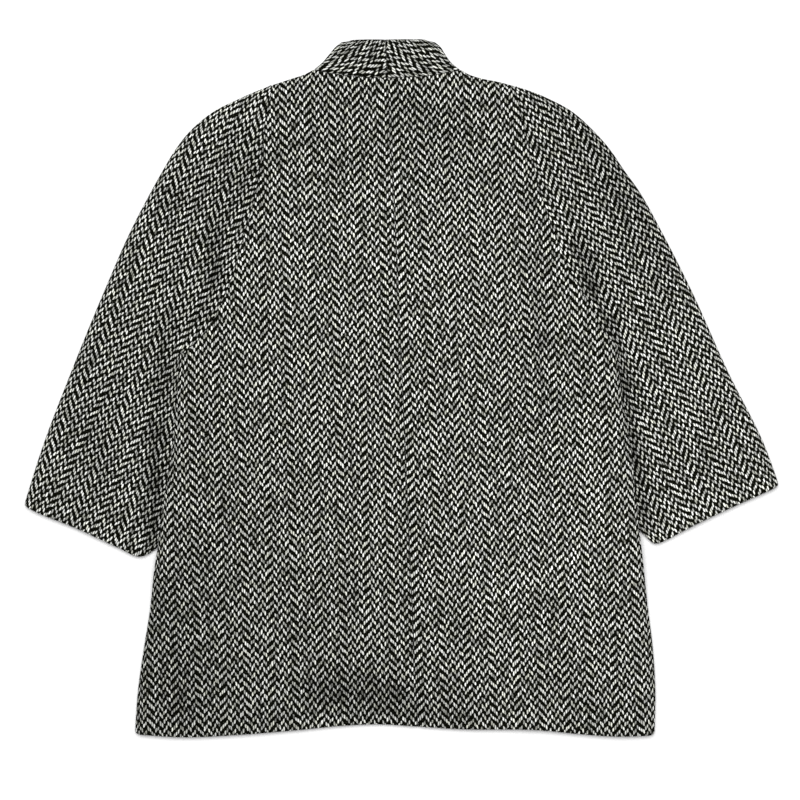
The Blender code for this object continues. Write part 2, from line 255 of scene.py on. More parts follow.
def spline(points, step=LINE_STEP):
    """Dense smooth line through the points, each span bent by the slope of its neighbours."""
    knots = np.array(points, float)
    lengths = np.hypot(*np.diff(knots, axis=0).T)
    at = np.concatenate([[0], np.cumsum(lengths)])
    slopes = np.gradient(knots, at, axis=0)
    line = [knots[0]]
    for k, length in enumerate(lengths):
        start, end = knots[k], knots[k + 1]
        bend_in, bend_out = slopes[k] * length, slopes[k + 1] * length
        count = max(2, int(length / step))
        for t in np.arange(1, count + 1) / count:
            line.append((2 * t**3 - 3 * t**2 + 1) * start + (t**3 - 2 * t**2 + t) * bend_in
                        + (3 * t**2 - 2 * t**3) * end + (t**3 - t**2) * bend_out)
    return np.array(line)


def arc_length(line):
    """Distance along a line to each of its points."""
    return np.concatenate([[0], np.cumsum(np.hypot(*np.diff(line, axis=0).T))])


def walk(line, share):
    """The points at shares of a line's length."""
    at = arc_length(line)
    place = np.asarray(share) * at[-1]
    return np.stack([np.interp(place, at, line[:, axis]) for axis in (0, 1)], axis=-1)


def moved_in(line, inside, distance):
    """The line moved sideways by a distance, towards the inside point."""
    along = np.gradient(line, axis=0)
    across = np.stack([-along[:, 1], along[:, 0]], axis=1)
    across /= np.linalg.norm(across, axis=1)[:, None]
    middle = len(line) // 2
    turn = np.sign(across[middle] @ (np.array(inside) - line[middle]))
    return line + across * turn * distance


def joined(*lines):
    """Lines end to end as one."""
    return np.vstack([lines[0]] + [line[1:] for line in lines[1:]])


def fitted(line, start, end):
    """A line with its ends moved onto two points, the change fading away from each end."""
    share = (arc_length(line) / arc_length(line)[-1])[:, None]
    from_start, from_end = (1 - share) ** FADE_POWER, share ** FADE_POWER
    return line + from_start * (start - line[0]) + from_end * (end - line[-1])


def trimmed(line, length):
    """A line with a short length cut off its start."""
    at = arc_length(line)
    return np.vstack([walk(line, length / at[-1]), line[at > length + LEAST_STEP]])


def clearance(line, points):
    """Distance from each point of a grid to a line, and the line's own direction there."""
    flat = points.reshape(-1, 2)
    best = np.full(len(flat), np.inf)
    way = np.zeros(flat.shape)
    for start, span in zip(line[:-1:2], line[2::2] - line[:-2:2]):
        t = np.clip((flat - start) @ span / (span @ span), 0, 1)
        gap = np.hypot(*(flat - start - t[:, None] * span).T)
        nearer = gap < best
        best[nearer] = gap[nearer]
        way[nearer] = span / np.hypot(*span)
    return best.reshape(points.shape[:-1]), way.reshape(points.shape)


def coons(patch, u, v):
    """Points of the patch inside its top, bottom, left and right edges, at grids of shares."""
    top, bottom, left, right = patch
    u1, v1 = u[..., None], v[..., None]
    edges = ((1 - v1) * walk(top, u) + v1 * walk(bottom, u)
             + (1 - u1) * walk(left, v) + u1 * walk(right, v))
    corners = ((1 - u1) * (1 - v1) * top[0] + u1 * (1 - v1) * top[-1]
               + (1 - u1) * v1 * bottom[0] + u1 * v1 * bottom[-1])
    return edges - corners


def stations(length, count, lip_start, lip_end):
    """Distances along a length: close together in the rounded lips at both ends, even between."""
    head, tail = lip_start * LIP_STATIONS, length - lip_end * LIP_STATIONS[::-1]
    return np.concatenate([head, np.linspace(head[-1], tail[0], count + 1)[1:-1], tail])


class Grid:
    """Shares of a patch at each point of a grid, and how far each point is from the patch's edges."""

    def __init__(self, patch, step, lips, start=0.0):
        self.lips = lips
        top_lip, bottom_lip, left_lip, right_lip = lips
        length = arc_length(patch[3])[-1] - start
        down = stations(length, max(LEAST_CELLS, round(length / step)), top_lip, bottom_lip)
        shares = (start + down) / (start + length)
        widths = np.linalg.norm(walk(patch[3], shares) - walk(patch[2], shares), axis=1)[:, None]
        count = max(LEAST_CELLS, round(widths.max() / step))
        small = np.minimum(1.0, widths[:, 0] / (LIP_ROOM * (left_lip + right_lip)))
        across = [stations(w, count, left_lip * k, right_lip * k) for w, k in zip(widths[:, 0], small)]
        self.small = small[:, None]
        self.left = np.array(across)
        self.right = widths - self.left
        self.top = np.repeat(down[:, None], self.left.shape[1], axis=1)
        self.bottom = length - self.top
        self.u = self.left / widths
        self.v = np.repeat(shares[:, None], self.left.shape[1], axis=1)

    def half(self):
        """Half thickness of the cloth, rounded off to nothing at its edges."""
        top_lip, bottom_lip, left_lip, right_lip = self.lips
        rows = np.minimum(self.top / top_lip, self.bottom / bottom_lip)
        columns = np.minimum(self.left / left_lip, self.right / right_lip) / self.small
        inside = np.clip(np.minimum(rows, columns), 0, 1)
        return WALL / 2 * np.sqrt(1 - (1 - inside) ** 2)


def round_corner(points, along, up, hem, edge):
    """Points near the sharp corner where a hem meets an edge, drawn in onto a round one."""
    x, y = 1 - np.clip(along / CORNER_ROUND, 0, 1), 1 - np.clip(up / CORNER_ROUND, 0, 1)
    hem_way, edge_way = hem[END_SPAN] - hem[0], edge[END_SPAN] - edge[0]
    in_hem = (x - x * np.sqrt(1 - y * y / 2))[..., None] * hem_way / np.hypot(*hem_way)
    in_edge = (y - y * np.sqrt(1 - x * x / 2))[..., None] * edge_way / np.hypot(*edge_way)
    return points + CORNER_ROUND * (in_hem + in_edge)


def roll(clear, width=ROLL_WIDTH):
    """Drop of the cloth at a distance from a rolled edge, as a share of the whole drop."""
    out = 1 - np.clip(clear / width, 0, 1)
    return ROLL_SOFT * out ** 2 + (1 - ROLL_SOFT) * (1 - np.sqrt(1 - out ** 2))


def roll_excess(clear):
    """How much longer the rolled cloth is than its plan, from a distance to the edge inwards."""
    at = np.linspace(0, ROLL_WIDTH, ROLL_SAMPLES)
    drop = (ROLL_DROP + WALL / 2) * roll(at)
    longer = np.hypot(np.diff(at), np.diff(drop)) - np.diff(at)
    return np.interp(clear, at, np.concatenate([np.cumsum(longer[::-1])[::-1], [0]]))


def folded(points, clear, part):
    """Height of the soft folds at points, fading out near sewn outer edges, and the painted light and shade
    of the colour there, with painted shade along those edges.
    """
    height, painted_shading = np.zeros(clear.shape), 1 + EDGE_PAINTED_SHADE * np.exp(-(clear / EDGE_PAINTED_SHADE_WIDTH) ** 2)
    for row in FOLDS:
        fold = dict(zip(FOLD_COLUMNS, row))
        if fold["part"] in ("any", part):
            start = np.array([fold["x0"], fold["y0"]], float)
            span = np.array([fold["x1"], fold["y1"]], float) - start
            t = np.clip((points - start) @ span / (span @ span), 0, 1)
            gap = np.linalg.norm(points - start - t[..., None] * span, axis=-1)
            near = np.exp(-(gap / fold["half_width"]) ** 2)
            height += fold["height"] * near
            painted_shading *= 1 + fold["painted_shading"] * near
    height = np.maximum(height, FOLD_DEEPEST) * smooth(clear, FOLD_EDGE_START, FOLD_EDGE_FULL)
    return height, np.maximum(painted_shading, PAINTED_SHADING_LEAST)


class Side:
    """Lines of one side of the coat, and the height of its cloth."""

    def __init__(self, hand, sign):
        self.lines = {key: spline(points) for key, points in SIDES[hand].items()}
        self.hand = hand
        self.sign = sign
        self.body = BODY_INSIDE
        self.arm = self.lines["overarm"].mean(axis=0)
        self.outer = joined(self.lines["shoulder"], self.lines["overarm"])
        self.top = self.lines["side"][0, 1]
        self.lift_end = self.lines["cuff"][0, 1] - LIFT_END_DROP

    def edge(self, seam, free, inside):
        """The armhole seam and the free line below it, moved back by half the seam gap."""
        return moved_in(joined(self.lines[seam], self.lines[free]), inside, SEAM_GAP / 2)

    def side_lift(self, points, clear):
        """Height of the body's side above the table, where it rides over the sleeve."""
        along = smooth(self.top - points[..., 1], LIFT_START, LIFT_RISE)
        along *= smooth(points[..., 1], self.lift_end - LIFT_FALL, self.lift_end)
        return LIFT * along * (1 - smooth(clear, LIFT_FULL_WIDTH, LIFT_WIDTH))

    def nearest_edge(self, points, part):
        """Distance to the nearest sewn outer edge, and the way out across it."""
        free = self.lines["side" if part == "body" else "underarm"]
        clear, way = clearance(free, points)
        inside = self.body if part == "body" else self.arm
        outer_clear, outer_way = clearance(self.outer, points)
        way = np.where((outer_clear < clear)[..., None], outer_way, way)
        out = np.stack([-way[..., 1], way[..., 0]], axis=-1)
        out *= np.sign(np.sum(out * (points - inside), axis=-1))[..., None]
        return clear, np.minimum(clear, outer_clear), out

    def laid(self, points, layer, part, seams, hem_gap):
        """Flat points at their height on a layer, their places in the cut and the weave, and their painted
        light and shade.
        """
        free_clear, clear, out = self.nearest_edge(points, part)
        lift = self.side_lift(points, free_clear) if part == "body" else np.zeros(clear.shape)
        if layer == "lower":
            inset = LOWER_INSET * (1 - smooth(clear, 0, LOWER_INSET_WIDTH))
            placed = np.dstack([points - out * inset[..., None], LOWER + lift])
            return placed, points, points, np.ones(clear.shape)
        drop = np.hypot(ROLL_DROP * roll(clear), HEM_DROP * roll(hem_gap, HEM_DROP_WIDTH))
        for line in seams:
            gap = clearance(line, points)[0]
            drop += SEAM_DIP * np.exp(-(gap / SEAM_DIP_WIDTH) ** 2) * smooth(clear, 0, ROLL_WIDTH)
        if part == "body":
            centre = np.exp(-((points[..., 0] - HEM_DROOP_AT) / HEM_DROOP_REACH) ** 2)
            drop += HEM_DROOP * centre * (1 - smooth(hem_gap, 0, HEM_DROOP_WIDTH))
        else:
            drop += TUCK * np.exp(-(free_clear / TUCK_WIDTH) ** 2) * smooth(clear, 0, ROLL_WIDTH)
        fold, painted_shading = folded(points, clear, part)
        # Painted shade along the hem and the cuffs
        painted_shading *= 1 + HEM_PAINTED_SHADE * np.exp(-(hem_gap / HEM_PAINTED_SHADE_WIDTH) ** 2)
        cut = points + out * roll_excess(clear)[..., None]
        weave = points + out * (ROLL_GRAIN * (1 - np.clip(clear / ROLL_WIDTH, 0, 1)) ** 2)[..., None]
        return np.dstack([points, UPPER + lift + fold - drop]), cut, weave, painted_shading


def body_patch(side, layer):
    """Flat edges of a back or front."""
    outer = side.edge("armhole", "side", side.body)
    if layer == "upper":
        centre, gap, neck, hem = spline(CENTRE_BACK), SEAM_GAP, side.lines["neck"], side.lines["hem"]
        inside = side.body
    else:
        centre, gap = spline(CENTRE_FRONT), FRONT_EDGE_GAP
        neck, hem = side.lines["front_neck"], side.lines["front_hem"]
        inside = side.lines["armhole"].mean(axis=0)
    centre = trimmed(centre + np.array([side.sign * gap / 2, 0.0]), SEAM_GAP / 2)
    shoulder = trimmed(side.lines["shoulder"], SEAM_GAP / 2)
    neck = fitted(moved_in(neck, inside, SEAM_GAP / 2), centre[0], shoulder[0])
    shoulder = fitted(shoulder, shoulder[0], outer[0])
    return joined(neck, shoulder), fitted(hem, centre[-1], outer[-1]), centre, outer


def sleeve_patch(side):
    """Flat edges of a sleeve half, from its point at the shoulder."""
    inner = side.edge("armhole", "underarm", side.arm)
    overarm = side.lines["overarm"]
    outer = fitted(overarm, inner[0], overarm[-1])
    tip = inner[0] + np.array([[0.0, 0.0], [0.0, TIP_WIDTH]])
    return tip, fitted(side.lines["cuff"], inner[-1], outer[-1]), inner, outer


def in_grain(points, row):
    """Flat points measured across and along their grain, from the start of its repeat."""
    grain = dict(zip(GRAIN_COLUMNS, row))
    angle = math.radians(grain["lean"])
    across = points @ np.array([math.cos(angle), math.sin(angle)]) + grain["across"]
    along = points @ np.array([-math.sin(angle), math.cos(angle)]) + grain["along"]
    return np.stack([across, along], axis=-1)


def body_shell(side, layer):
    """Middle surface, half thickness, cut, weave and painted light and shade of a back or front."""
    patch = body_patch(side, layer)
    step = UPPER_STEP if layer == "upper" else LOWER_STEP
    centre_lip = SEAM_LIP if layer == "upper" else OUTER_LIP
    grid = Grid(patch, step, (SEAM_LIP, HEM_LIP, centre_lip, SEAM_LIP))
    points = coons(patch, grid.u, grid.v)
    points = round_corner(points, grid.right, grid.bottom, patch[1][::-1], patch[3][::-1])
    seams = (spline(CENTRE_BACK), side.lines["armhole"], side.lines["neck"])
    placed, cut, weave, painted_shading = side.laid(points, layer, "body", seams, grid.bottom)
    grain = GRAIN["body_" + side.hand]
    return placed, grid.half(), in_grain(cut, grain), in_grain(weave, grain), painted_shading


def sleeve_shell(side, layer):
    """Middle surface, half thickness, cut, weave and painted light and shade of a sleeve half."""
    patch = sleeve_patch(side)
    step = UPPER_STEP if layer == "upper" else LOWER_STEP
    grid = Grid(patch, step, (SEAM_LIP, HEM_LIP, SEAM_LIP, OUTER_LIP), start=SLEEVE_TIP)
    points = coons(patch, grid.u, grid.v)
    points = round_corner(points, grid.right, grid.bottom, patch[1][::-1], patch[3][::-1])
    points = round_corner(points, grid.left, grid.bottom, patch[1], patch[2][::-1])
    placed, cut, weave, painted_shading = side.laid(points, layer, "sleeve", (side.lines["armhole"],), grid.bottom)
    grain = GRAIN["sleeve_" + side.hand]
    return placed, grid.half(), in_grain(cut, grain), in_grain(weave, grain), painted_shading


def collar_half(side, middle, low, high, fold):
    """Flat edges of the back or front of a collar half, and the way its rows leave the fold."""
    low_line = moved_in(side.lines[low], COLLAR_INSIDE, SEAM_GAP / 2)
    high_line = side.lines[high]
    leave_low = low_line[-1 - END_SPAN] - low_line[-1]
    leave_high = high_line[-1 - END_SPAN] - high_line[-1]
    share = (arc_length(fold) / arc_length(fold)[-1])[:, None]
    leave = ((1 - share) * leave_low / np.linalg.norm(leave_low)
             + share * leave_high / np.linalg.norm(leave_high))
    inward = moved_in(fold, COLLAR_INSIDE, 1.0) - fold
    leave /= np.sum(leave * inward, axis=1)[:, None]
    bend = fold + inward * WALL / 2 + leave * COLLAR_FOLD
    low_edge, high_edge = fitted(low_line, middle[0], bend[0]), fitted(high_line, middle[-1], bend[-1])
    return (low_edge, high_edge, middle, bend), leave


def collar_shell(side):
    """Middle surface, half thickness, cut, weave and painted shade of a collar half, from centre back to
    front.
    """
    fold = trimmed(side.lines["collar_fold"][::-1], NECK_POINT_GAP)
    crest = moved_in(fold, COLLAR_INSIDE, WALL / 2)
    back = trimmed(spline(COLLAR_CENTRE) + np.array([side.sign * SEAM_GAP / 2, 0.0]), SEAM_GAP / 2)
    front = trimmed(spline(COLLAR_FRONT) + np.array([side.sign * FRONT_EDGE_GAP / 2, 0.0]), SEAM_GAP / 2)
    upper, upper_leave = collar_half(side, back, "neck", "collar_top", fold)
    lower, lower_leave = collar_half(side, front, "front_neck", "front_collar_top", fold)
    high = arc_length(back)[-1]
    up = stations(high, round(high / COLLAR_STEP), SEAM_LIP, OUTER_LIP)
    back_width, front_width = arc_length(upper[0])[-1], arc_length(lower[0])[-1]
    back_along = stations(back_width, round(back_width / COLLAR_STEP), SEAM_LIP, NO_LIP)
    front_along = stations(front_width, round(front_width / COLLAR_STEP), OUTER_LIP, NO_LIP)[::-1]
    v, u = np.meshgrid(up / high, back_along[:-LIP_CELLS] / back_width, indexing="ij")
    flat = coons(upper, u, v)
    dip = SEAM_DIP * sum(np.exp(-(clearance(line, flat)[0] / SEAM_DIP_WIDTH) ** 2)
                         for line in (side.lines["neck"], spline(COLLAR_CENTRE)))
    columns = [np.dstack([flat, UPPER - dip])]
    for angle in np.linspace(0, math.pi, COLLAR_FOLD_CELLS + 1)[1:-1]:
        leave = walk(upper_leave if angle < math.pi / 2 else lower_leave, up / high)
        plan = walk(crest, up / high) + leave * COLLAR_FOLD * (1 - math.sin(angle))
        level = np.full(len(up), (UPPER + LOWER) / 2 + COLLAR_FOLD * math.cos(angle))
        columns.append(np.column_stack([plan, level])[:, None, :])
    v, u = np.meshgrid(up / high, front_along[LIP_CELLS:] / front_width, indexing="ij")
    columns.append(np.dstack([coons(lower, u, v), np.full(u.shape, LOWER)]))
    points = np.concatenate(columns, axis=1)
    middle_row = points[len(up) // 2]
    along = np.concatenate([[0], np.cumsum(np.linalg.norm(np.diff(middle_row, axis=0), axis=1))])
    rows = np.minimum(up / SEAM_LIP, (high - up) / OUTER_LIP)
    ends = np.minimum(along / SEAM_LIP, (along[-1] - along) / OUTER_LIP)
    inside = np.clip(np.minimum(rows[:, None], ends), 0, 1)
    rise, run = np.meshgrid(up, side.sign * along, indexing="ij")
    cut = np.stack([run, rise], axis=-1)
    weave = in_grain(cut, GRAIN["collar_" + side.hand])
    # Painted shade over all the collar, and more along its top edge
    painted_shading = 1 + COLLAR_PAINTED_SHADE + COLLAR_EDGE_PAINTED_SHADE * np.exp(-((high - up) / COLLAR_EDGE_PAINTED_SHADE_WIDTH) ** 2)
    painted_shading = np.repeat(painted_shading[:, None], len(along), axis=1)
    return points, WALL / 2 * np.sqrt(1 - (1 - inside) ** 2), cut, weave, painted_shading


def add_object(name, data):
    """A new object in the scene."""
    made = bpy.data.objects.new(name, data)
    bpy.context.scene.collection.objects.link(made)
    return made


def make_shell(name, shell, material):
    """A closed cloth mesh: an outer and an inner face that meet at the rounded edges."""
    points, half, cut, weave, painted_shading = shell
    across, down = np.gradient(points, axis=1), np.gradient(points, axis=0)
    normal = np.cross(across, down)
    length = np.maximum(np.linalg.norm(normal, axis=-1), TINY)[..., None]
    normal *= np.sign(normal[PROBE, PROBE, 2]) / length
    outer, inner = points + normal * half[..., None], points - normal * half[..., None]
    rows, columns = half.shape
    outer_index = np.arange(rows * columns).reshape(rows, columns)
    inner_index = outer_index + rows * columns
    rim = np.ones((rows, columns), bool)
    rim[1:-1, 1:-1] = False
    inner_index[rim] = outer_index[rim]

    def quads(index, flip):
        """Four corners of each cell, turned the other way where flip is set."""
        corners = [index[:-1, :-1], index[:-1, 1:], index[1:, 1:], index[1:, :-1]]
        return np.stack(corners[::-1] if flip else corners, axis=-1).reshape(-1, 4)

    flip = np.cross(across[PROBE, PROBE], down[PROBE, PROBE])[2] < 0
    faces = np.concatenate([quads(outer_index, flip), quads(inner_index, not flip)])
    vertices = np.concatenate([outer.reshape(-1, 3), inner.reshape(-1, 3)]) * MM
    used, faces = np.unique(faces, return_inverse=True)
    mesh = bpy.data.meshes.new(name)
    mesh.from_pydata(vertices[used].tolist(), [], faces.reshape(-1, 4).tolist())
    threads = np.tile(weave.reshape(-1, 2) * MM, (2, 1))[used]
    baked = (threads - threads.min(axis=0)) / (threads.max(axis=0) - threads.min(axis=0)).max()
    loops = np.zeros(len(mesh.loops), int)
    mesh.loops.foreach_get("vertex_index", loops)
    for layer, place in (("OFBake", baked * (1 - 2 * BAKE_MARGIN) + BAKE_MARGIN), ("grain", threads)):
        mesh.uv_layers.new(name=layer).data.foreach_set("uv", place[loops].ravel())
    # Painted light and shade: a share of the colour at each point, the same on both faces
    painted_shading_layer = mesh.attributes.new("painted_shading", "FLOAT", "POINT")
    painted_shading_layer.data.foreach_set("value", np.tile(painted_shading.ravel(), 2)[used])
    mesh.shade_smooth()
    mesh.materials.append(material)
    piece = add_object(name + "_cloth", mesh)
    size = (cut.max(axis=(0, 1)) - cut.min(axis=(0, 1))) * MM
    cells = np.linalg.norm(np.cross(across[:-1, :-1], down[:-1, :-1]), axis=-1)
    return piece, size, float(cells.sum()) * MM * MM


class Graph:
    """Shorthand for building a material from nodes."""

    def __init__(self, tree):
        self.tree = tree

    def node(self, kind, inputs=(), **values):
        """A new node with its settings, and its inputs linked or set."""
        made = self.tree.nodes.new(kind)
        for key, value in values.items():
            setattr(made, key, value)
        for key, value in dict(inputs).items():
            if isinstance(value, bpy.types.NodeSocket):
                self.tree.links.new(value, made.inputs[key])
            else:
                made.inputs[key].default_value = value
        return made

    def math(self, operation, *values):
        """The result of a sum on numbers or sockets."""
        return self.node("ShaderNodeMath", enumerate(values), operation=operation).outputs[0]

    def ease(self, value, low, high, start=0.0, end=1.0):
        """A smooth change from start at low to end at high."""
        inputs = {"Value": value, "From Min": low, "From Max": high, "To Min": start, "To Max": end}
        return self.node("ShaderNodeMapRange", inputs, interpolation_type="SMOOTHSTEP").outputs[0]

    def noise(self, place, scale, detail=2.0):
        """Soft noise from 0 to 1."""
        inputs = {"Vector": place, "Scale": scale, "Detail": detail}
        return self.node("ShaderNodeTexNoise", inputs).outputs["Fac"]

    def blend(self, share, first, second):
        """A number between two, by a share."""
        inputs = {0: share, 2: first, 3: second}
        return self.node("ShaderNodeMix", inputs, data_type="FLOAT").outputs[0]

    def mix(self, share, first, second):
        """A colour between two, by a share."""
        inputs = {0: share, 6: first, 7: second}
        return self.node("ShaderNodeMix", inputs, data_type="RGBA").outputs[2]


# Herringbone: yarn pitch across and along, the ends before each turn of the twill, and the lean of a float
END_PITCH = 2.53 * MM
PICK_PITCH = 2.66 * MM
TURNS = (4, 2, 2, 2, 2)
PICKS = 4
FLOAT_LEAN = 0.8

# Wander of the yarns: waves for each metre, their detail, and how far it goes, in yarns
WANDER_SCALE = 70.0
WANDER_DETAIL = 5.0
WANDER_ACROSS = 1.2
WANDER_ALONG = 1.6

# Round of a yarn: where its edge and its crown lie, in shares of its pitch, and the height of ends and picks
YARN_EDGE = 0.5
YARN_CROWN = 0.1
END_VALLEY = 0.14
PICK_HEIGHT = 0.55
FLOAT_CROWN = 0.12

# Uneven yarn: what a noise is multiplied by, and what is then added
FLOAT_REACH = (0.12, 0.225)
FLOAT_MIDDLE = (0.14, 0.18)
FLOAT_TONE = (0.66, 0.17)
SLUB_TONE = (1.1, -0.42)
CLOUD_TONE = (0.4, 0.8)
FIBRE_TONE = (1.5, 0.25)
HAIR_RAGGED = (0.8, -0.4)

# Waves of each noise for a metre, and its detail where it isn't the usual one
SLUB_SCALE = 170.0
CLOUD_SCALE = 24.0
HAIR_SCALE = 600.0
WARM_SCALE = 90.0
WARM_DETAIL = 3.0
FIBRE_SCALE = (1500.0, 560.0, 1.0)
FIBRE_DETAIL = 3.0

# Reed lines: ends in a repeat, the splits in it, and the tone of a split and of the wider gap
REED_ENDS = 8
REED_SPLITS = 3
SPLIT_TONE = 0.8
GAP_TONE = 0.78
GAP_START = 0.5

# Colours of the yarns, and where each change of colour starts and ends
CREAM = (0.86, 0.872, 0.835, 1.0)
CREAM_WARM = (0.845, 0.857, 0.745, 1.0)
CREAM_SHADE = (0.027, 0.028, 0.020, 1.0)
BLACK = (0.0002, 0.0003, 0.0, 1.0)
CHARCOAL = (0.0085, 0.009, 0.0045, 1.0)
CREAM_RANGE = (0.08, 0.85)
WARM_RANGE = (0.42, 0.7)
CHARCOAL_RANGE = (0.4, 0.75)

# Relief of the weave and finish of the wool
BUMP_STRENGTH = 0.7
BUMP_DEPTH = 0.9 * MM
FIBRE_HEIGHT = 0.25
FINISH = {
    "Roughness": 0.92,
    "Specular IOR Level": 0.01,
    "Sheen Weight": 0.005,
    "Sheen Roughness": 0.6,
    "Sheen Tint": (0.9, 0.88, 0.83, 1.0),
}


def twill_steps():
    """Each end's rise in picks and the way its twill leans, over half a repeat with a break at each turn."""
    steps, at, turn = [], 0, -1
    for ends in TURNS:
        for _ in range(ends):
            steps.append((at % PICKS, turn))
            at += turn
        at += PICKS // 2 - turn
        turn = -turn
    return steps


def yarn_numbers(graph, place):
    """Counts of ends across and of picks along the cloth, with a little wander."""
    inputs = {"Vector": place, "Scale": WANDER_SCALE, "Detail": WANDER_DETAIL}
    wander = graph.node("ShaderNodeTexNoise", inputs).outputs["Color"]
    wander = graph.node("ShaderNodeSeparateXYZ", {0: wander}).outputs
    across, along = graph.node("ShaderNodeSeparateXYZ", {0: place}).outputs[:2]
    stray_across = graph.math("MULTIPLY", wander[0], WANDER_ACROSS)
    stray_along = graph.math("MULTIPLY", wander[1], WANDER_ALONG)
    ends = graph.math("ADD", graph.math("DIVIDE", across, END_PITCH), stray_across)
    picks = graph.math("ADD", graph.math("DIVIDE", along, PICK_PITCH), stray_along)
    return ends, picks


def twill_order(graph, end):
    """Rise of an end as a share of the twill, and the way it leans, mirrored in every second half repeat."""
    steps = twill_steps()
    half = len(steps)
    number = graph.math("ADD", graph.math("FLOORED_MODULO", end, float(half)), 0.5)
    ramp = graph.node("ShaderNodeValToRGB", {0: graph.math("DIVIDE", number, float(half))})
    ramp.color_ramp.interpolation = "CONSTANT"
    for k, (step, turn) in enumerate(steps):
        stop = ramp.color_ramp.elements[k] if k < 2 else ramp.color_ramp.elements.new(k / half)
        stop.position = k / half
        stop.color = (step / PICKS, (turn + 1) / 2, 0.0, 1.0)
    first = graph.node("ShaderNodeSeparateColor", {0: ramp.outputs[0]}).outputs
    mirrored = graph.math("GREATER_THAN", graph.math("FLOORED_MODULO", end, 2.0 * half), half - 0.5)
    highest = (PICKS - 1) / PICKS
    rise = graph.blend(mirrored, first[0], graph.math("SUBTRACT", highest, first[0]))
    turn = graph.blend(mirrored, first[1], graph.math("SUBTRACT", 1.0, first[1]))
    return rise, graph.math("MULTIPLY_ADD", turn, 2.0, -1.0)


def yarn_heights(graph, ends, picks):
    """Height of the cream float and of the black pick, and a random number for each float."""
    end = graph.math("FLOOR", ends)
    from_middle = graph.math("SUBTRACT", graph.math("FRACT", ends), 0.5)
    rise, turn = twill_order(graph, end)
    lean = graph.math("MULTIPLY", turn, graph.math("MULTIPLY", from_middle, FLOAT_LEAN))
    straight = graph.math("DIVIDE", graph.math("SUBTRACT", picks, lean), float(PICKS))
    phase = graph.math("SUBTRACT", straight, rise)

    # Each float differs from the next in length and place
    number = graph.node("ShaderNodeCombineXYZ", {0: end, 1: graph.math("FLOOR", phase)}).outputs[0]
    chance = graph.node("ShaderNodeTexWhiteNoise", {"Vector": number}, noise_dimensions="2D").outputs
    uneven = graph.node("ShaderNodeSeparateColor", {0: chance["Color"]}).outputs
    reach = graph.math("MULTIPLY_ADD", uneven[1], *FLOAT_REACH)
    middle = graph.math("MULTIPLY_ADD", uneven[2], *FLOAT_MIDDLE)
    from_float = graph.math("SUBTRACT", graph.math("FRACT", phase), middle)

    over_end = graph.ease(graph.math("ABSOLUTE", from_middle), YARN_EDGE, YARN_CROWN, END_VALLEY, 1.0)
    over_float = graph.ease(graph.math("ABSOLUTE", from_float), reach, FLOAT_CROWN)
    warp = graph.math("MULTIPLY", over_end, over_float)
    from_pick = graph.math("SUBTRACT", graph.math("FRACT", picks), 0.5)
    weft = graph.ease(graph.math("ABSOLUTE", from_pick), YARN_EDGE, YARN_CROWN, 0.0, PICK_HEIGHT)
    return warp, weft, chance["Value"]


def cream_tone(graph, place, ends, chance, fibre):
    """Brightness of the cream: each float has its own, and slubs, clouds, reed lines and fibres vary it."""
    split = graph.math("COSINE", graph.math("MULTIPLY", ends, 2 * math.pi * REED_SPLITS / REED_ENDS))
    gap = graph.math("COSINE", graph.math("MULTIPLY", ends, 2 * math.pi / REED_ENDS))
    split_tone = graph.ease(split, 0.0, 1.0, 1.0, SPLIT_TONE)
    gap_tone = graph.ease(gap, GAP_START, 1.0, 1.0, GAP_TONE)
    slub = graph.noise(place, SLUB_SCALE)
    cloud = graph.noise(place, CLOUD_SCALE)
    tone = graph.math("MULTIPLY_ADD", chance, *FLOAT_TONE)
    tone = graph.math("ADD", tone, graph.math("MULTIPLY_ADD", slub, *SLUB_TONE))
    tone = graph.math("MULTIPLY", tone, graph.math("MULTIPLY_ADD", cloud, *CLOUD_TONE))
    tone = graph.math("MULTIPLY", tone, graph.math("MULTIPLY", split_tone, gap_tone))
    tone = graph.math("MULTIPLY", tone, graph.math("MULTIPLY_ADD", fibre, *FIBRE_TONE))
    return graph.node("ShaderNodeClamp", {"Value": tone}).outputs[0]


